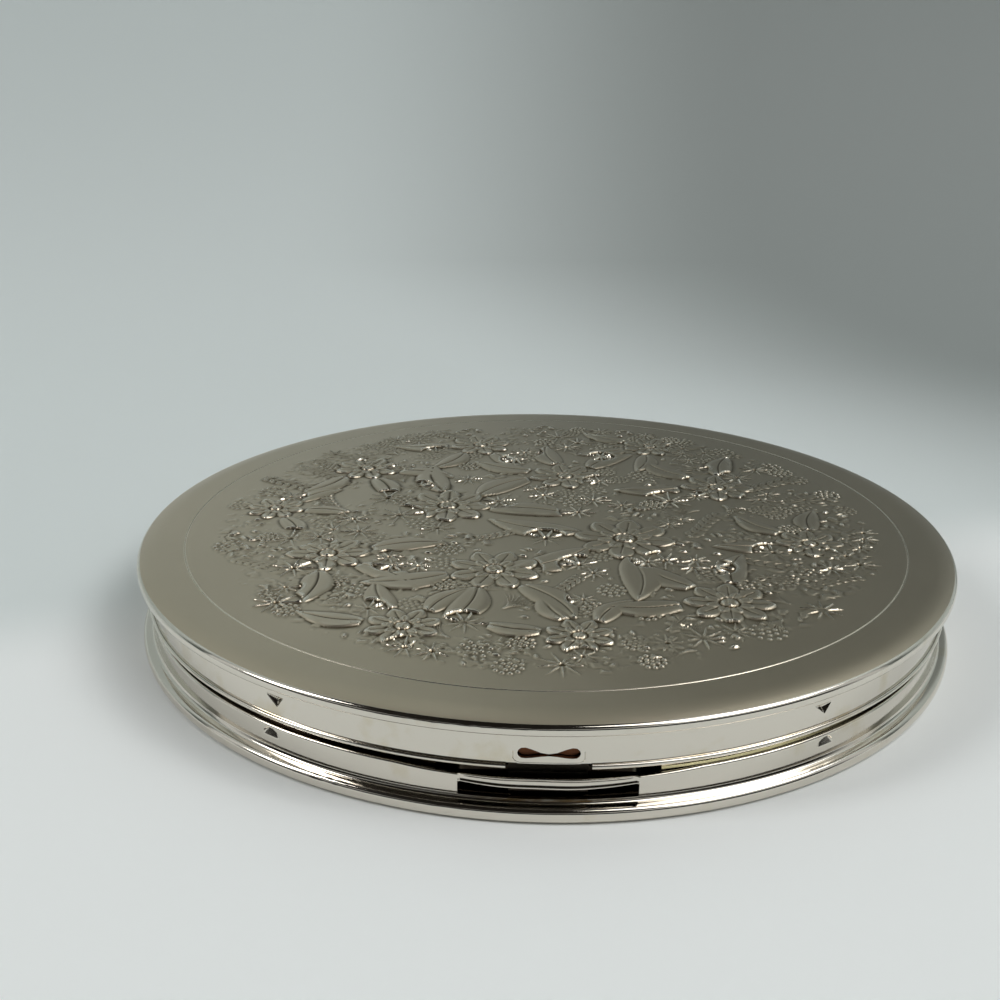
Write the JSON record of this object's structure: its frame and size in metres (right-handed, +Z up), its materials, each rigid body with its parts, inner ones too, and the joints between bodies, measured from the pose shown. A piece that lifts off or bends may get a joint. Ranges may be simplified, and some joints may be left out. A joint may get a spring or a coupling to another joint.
{
  "type": "compact mirror",
  "caption": "Round pocket compact mirror: a thin pressed metal case with an embossed lid that hinges open on a plain mirror in the lid and a magnifying mirror in the base.",
  "frame": {"origin": "centre of the closed case, on the surface that it stands on", "axes": "+Z up through the lid, -Y towards the catch, +Y towards the hinge"},
  "size_m": [0.076, 0.076, 0.0086],
  "materials": {
    "bright_nickel": "polished nickel plate, lightly worn",
    "satin_nickel": "fine satin, darkened with age, bright on raised edges",
    "bezel_nickel": "bright nickel plate",
    "mirror_glass": "silvered glass",
    "backing_card": "plain grey-brown card",
    "pin_steel": "drawn wire",
    "spring_steel": "rolled spring strip",
    "bare_brass": "dull, tarnished"
  },
  "bodies": {
    "base": {"base_plate": "bright_nickel", "base_rim": "bright_nickel", "base_card": "backing_card", "base_mirror": "mirror_glass", "base_bezel": "bezel_nickel", "base_hinge_leaf": "bright_nickel", "hinge_pin": "pin_steel"},
    "lid": {"lid_rim": "bright_nickel", "lid_plate": "satin_nickel", "lid_card": "backing_card", "lid_mirror": "mirror_glass", "lid_bezel": "bezel_nickel", "lid_hinge_leaf": "bright_nickel", "catch_stake": "bare_brass"},
    "catch": {"catch_tongue": "spring_steel"}
  },
  "joints": [
    {"name": "lid_hinge", "type": "hinge", "parent": "base", "child": "lid", "pos_m": [0, 0.03665, 0.00365], "axis": [-1, 0, 0], "range_deg": [0, 125]},
    {"name": "catch_flex", "type": "hinge", "parent": "lid", "child": "catch", "pos_m": [0, -0.0364, 0.00525], "axis": [1, 0, 0], "range_deg": [0, 5], "stiffness_Nm_per_rad": 0.1}
  ]
}
